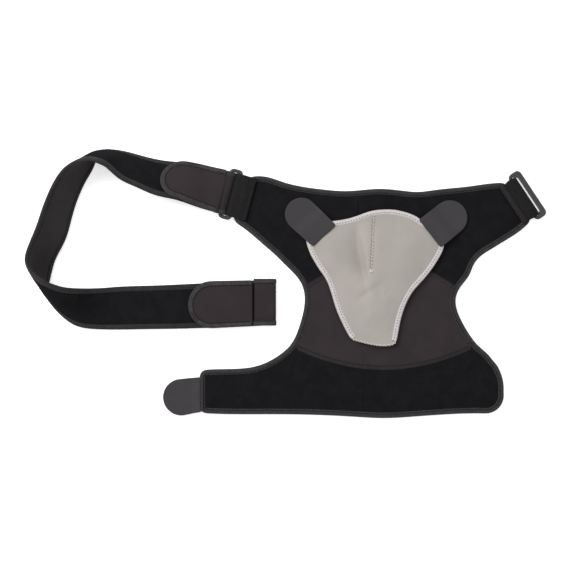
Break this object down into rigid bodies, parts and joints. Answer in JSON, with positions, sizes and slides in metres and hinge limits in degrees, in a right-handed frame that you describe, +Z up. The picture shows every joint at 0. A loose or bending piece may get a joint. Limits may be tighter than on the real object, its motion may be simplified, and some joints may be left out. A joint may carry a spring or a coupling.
{
  "type": "shoulder brace",
  "caption": "Soft shoulder brace lying open: arm cuff, shoulder panel with a hook-on pressure pad, and a long chest strap through a plastic ring.",
  "frame": {"origin": "middle of the whole brace's box, on the surface it lies on", "axes": "+X from the long strap towards the free ring, +Y from the arm cuff towards the neck edge, +Z up from the surface, out of the loop face"},
  "size_m": [0.5898, 0.3086, 0.0492],
  "materials": {
    "loop_pile": "looped pile",
    "knit_face": "smooth knit over foam",
    "edge_tape": "stretch tape, zigzag stitched",
    "seam_stitch": "flatlock stitching",
    "pad_foam": "fine knit over foam",
    "pad_tape": "stretch tape, stitched",
    "pad_thread": "zigzag thread",
    "tab_fabric": "matte laminated fabric",
    "hook_patch": "hook tape",
    "ring_plastic": "moulded satin plastic",
    "ring_band": "stretch band",
    "dark_thread": "thread",
    "strap_pile": "looped pile",
    "strap_knit": "smooth knit over foam"
  },
  "bodies": {
    "brace": {"upper_panel": "loop_pile", "shoulder_panel": "knit_face", "cuff_panel": "loop_pile", "brace_binding": "edge_tape", "upper_seam_tape": "seam_stitch", "lower_seam_tape": "seam_stitch", "pad_foot": "pad_foam", "pad_foot_stitching": "pad_thread"},
    "chest_wing": {"chest_wing_panel": "loop_pile", "chest_wing_binding": "edge_tape", "chest_ring_holder": "ring_band", "chest_holder_stitching": "dark_thread"},
    "back_wing": {"back_wing_panel": "loop_pile", "back_wing_binding": "edge_tape", "back_ring_holder": "ring_band", "back_holder_stitching": "dark_thread"},
    "cuff_long": {"cuff_long_panel": "loop_pile", "cuff_long_binding": "edge_tape", "cuff_tab_base": "tab_fabric"},
    "cuff_short": {"cuff_short_panel": "loop_pile", "cuff_short_binding": "edge_tape"},
    "cuff_hook_tab": {"cuff_tab": "tab_fabric", "cuff_tab_hooks": "hook_patch"},
    "pressure_pad": {"pad_panel": "pad_foam", "pad_binding": "pad_tape", "pad_dart_seam": "pad_thread", "pad_chest_tab_base": "tab_fabric", "pad_back_tab_base": "tab_fabric"},
    "pad_chest_hook_tab": {"pad_chest_tab": "tab_fabric", "pad_chest_tab_hooks": "hook_patch"},
    "pad_back_hook_tab": {"pad_back_tab": "tab_fabric", "pad_back_tab_hooks": "hook_patch"},
    "ring_chest": {"chest_ring": "ring_plastic"},
    "ring_back": {"back_ring": "ring_plastic"},
    "strap_near": {"strap_ring_wrap": "strap_knit", "strap_near_run": "strap_pile", "strap_near_binding": "edge_tape"},
    "tongue_near": {"near_tongue": "strap_knit", "near_tongue_binding": "edge_tape", "near_tongue_hooks": "hook_patch"},
    "strap_loop": {"strap_loop_run": "strap_knit", "strap_loop_binding": "edge_tape"},
    "strap_far": {"strap_far_run": "strap_pile", "strap_far_binding": "edge_tape"},
    "strap_end": {"strap_end_run": "strap_pile", "strap_end_binding": "edge_tape", "strap_end_fold": "strap_knit", "far_cross_seam": "dark_thread"},
    "tongue_far": {"far_tongue": "strap_knit", "far_tongue_binding": "edge_tape", "far_tongue_hooks": "hook_patch"}
  },
  "joints": [
    {"name": "chest_wing_fold", "type": "hinge", "parent": "brace", "child": "chest_wing", "pos_m": [-0.02144, 0.07158, 0.004], "axis": [-0.2004, 0.9797, 0], "range_deg": [0, 75]},
    {"name": "back_wing_fold", "type": "hinge", "parent": "brace", "child": "back_wing", "pos_m": [0.21531, 0.06463, 0.004], "axis": [-0.1006, -0.9949, 0], "range_deg": [0, 75]},
    {"name": "cuff_long_fold", "type": "hinge", "parent": "brace", "child": "cuff_long", "pos_m": [-0.00429, -0.11337, 0.004], "axis": [0, 1, 0], "range_deg": [0, 100]},
    {"name": "cuff_short_fold", "type": "hinge", "parent": "brace", "child": "cuff_short", "pos_m": [0.19926, -0.11087, 0.004], "axis": [-0.3115, -0.9503, 0], "range_deg": [0, 80]},
    {"name": "cuff_tab_bend", "type": "hinge", "parent": "cuff_long", "child": "cuff_hook_tab", "pos_m": [-0.10249, -0.12652, 0.0054], "axis": [0, 1, 0], "range_deg": [0, 75]},
    {"name": "pad_lift", "type": "hinge", "parent": "brace", "child": "pressure_pad", "pos_m": [0.09551, -0.05712, 0.0094], "axis": [0.9988, -0.0499, 0], "range_deg": [0, 80]},
    {"name": "pad_chest_tab_peel", "type": "hinge", "parent": "pressure_pad", "child": "pad_chest_hook_tab", "pos_m": [0.03815, 0.05747, 0.0111], "axis": [-0.7357, -0.6774, 0], "range_deg": [-110, 0]},
    {"name": "pad_back_tab_peel", "type": "hinge", "parent": "pressure_pad", "child": "pad_back_hook_tab", "pos_m": [0.16416, 0.05959, 0.0111], "axis": [-0.6156, 0.788, 0], "range_deg": [-110, 0]},
    {"name": "back_ring_swivel", "type": "hinge", "parent": "back_wing", "child": "ring_back", "pos_m": [0.26859, 0.09827, 0.005], "axis": [0.5519, -0.8339, 0], "range_deg": [0, 120]},
    {"name": "chest_ring_swivel", "type": "hinge", "parent": "chest_wing", "child": "ring_chest", "pos_m": [-0.06079, 0.10111, 0.00565], "axis": [-0.258, -0.9661, 0], "range_deg": [-60, 0]},
    {"name": "strap_hang", "type": "hinge", "parent": "ring_chest", "child": "strap_near", "pos_m": [-0.07219, 0.10415, 0.00565], "axis": [-0.258, -0.9661, 0], "range_deg": [0, 60]},
    {"name": "near_tongue_peel", "type": "hinge", "parent": "strap_near", "child": "tongue_near", "pos_m": [-0.07702, 0.10544, 0.01125], "axis": [-0.258, -0.9661, 0], "range_deg": [-80, 0]},
    {"name": "strap_loop_swing", "type": "hinge", "parent": "strap_near", "child": "strap_loop", "pos_m": [-0.22022, 0.14655, 0.0245], "axis": [0, 0, 1], "range_deg": [-25, 0]},
    {"name": "strap_far_swing", "type": "hinge", "parent": "strap_loop", "child": "strap_far", "pos_m": [-0.27214, 0.00448, 0.0245], "axis": [0, 0, 1], "range_deg": [0, 25]},
    {"name": "strap_end_lift", "type": "hinge", "parent": "strap_far", "child": "strap_end", "pos_m": [-0.13049, -0.02587, 0.0032], "axis": [0, 1, 0], "range_deg": [-80, 0]},
    {"name": "far_tongue_peel", "type": "hinge", "parent": "strap_end", "child": "tongue_far", "pos_m": [-0.04049, -0.02187, 0.0079], "axis": [0, -1, 0], "range_deg": [-100, 0]}
  ],
  "couplings": [
    {"joint": "strap_hang", "follows": "chest_ring_swivel", "ratio": -1},
    {"joint": "strap_far_swing", "follows": "strap_loop_swing", "ratio": -1}
  ]
}
